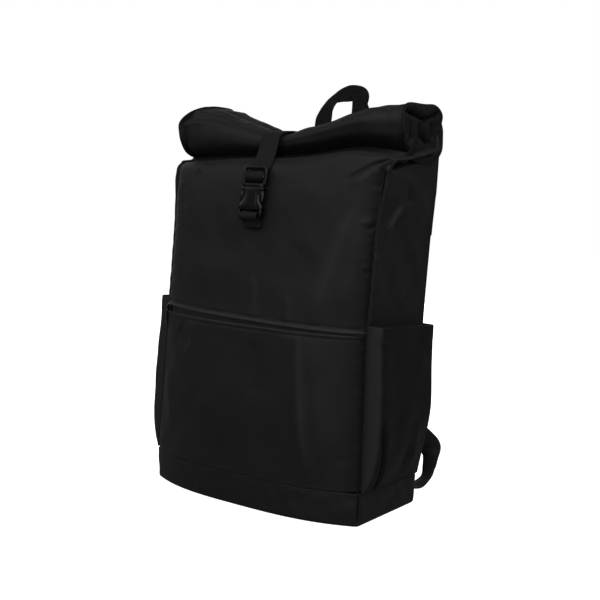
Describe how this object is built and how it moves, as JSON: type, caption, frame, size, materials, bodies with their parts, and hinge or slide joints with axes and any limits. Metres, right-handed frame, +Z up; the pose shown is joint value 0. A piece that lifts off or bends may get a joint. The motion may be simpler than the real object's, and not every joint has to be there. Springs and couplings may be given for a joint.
{
  "type": "laptop backpack",
  "caption": "Roll-top laptop backpack in black cloth: boxy sack with a zipped front pocket, open side pockets, a strap and buckle over the rolled mouth, a grab handle and shoulder straps.",
  "frame": {"origin": "on the base's underside, midway between the two side seams and between the front and back seams", "axes": "+Z up, the front faces -Y, +X to the right seen from the front"},
  "size_m": [0.3278, 0.2314, 0.4843],
  "materials": {
    "cloth": "black coated polyester, satin",
    "webbing": "black woven webbing, matt",
    "plastic": "black moulded plastic, satin",
    "zip": "black coated zip tape, matt"
  },
  "bodies": {
    "root": {"base_panel": "cloth", "pocket_panel": "cloth", "front_panel": "cloth", "left_gusset": "cloth", "right_gusset": "cloth", "left_roll_tuck": "cloth", "right_roll_tuck": "cloth", "left_side_pocket": "cloth", "right_side_pocket": "cloth", "back_panel": "cloth", "roll_top": "cloth", "left_shoulder_strap": "cloth", "right_shoulder_strap": "cloth", "closure_strap": "webbing", "buckle_tab": "webbing", "grab_handle": "webbing", "left_adjuster": "webbing", "right_adjuster": "webbing", "buckle_plug": "plastic", "buckle_socket": "plastic", "zip_slider": "plastic", "left_ladder_lock": "plastic", "right_ladder_lock": "plastic", "zip_tape": "zip"}
  },
  "joints": []
}
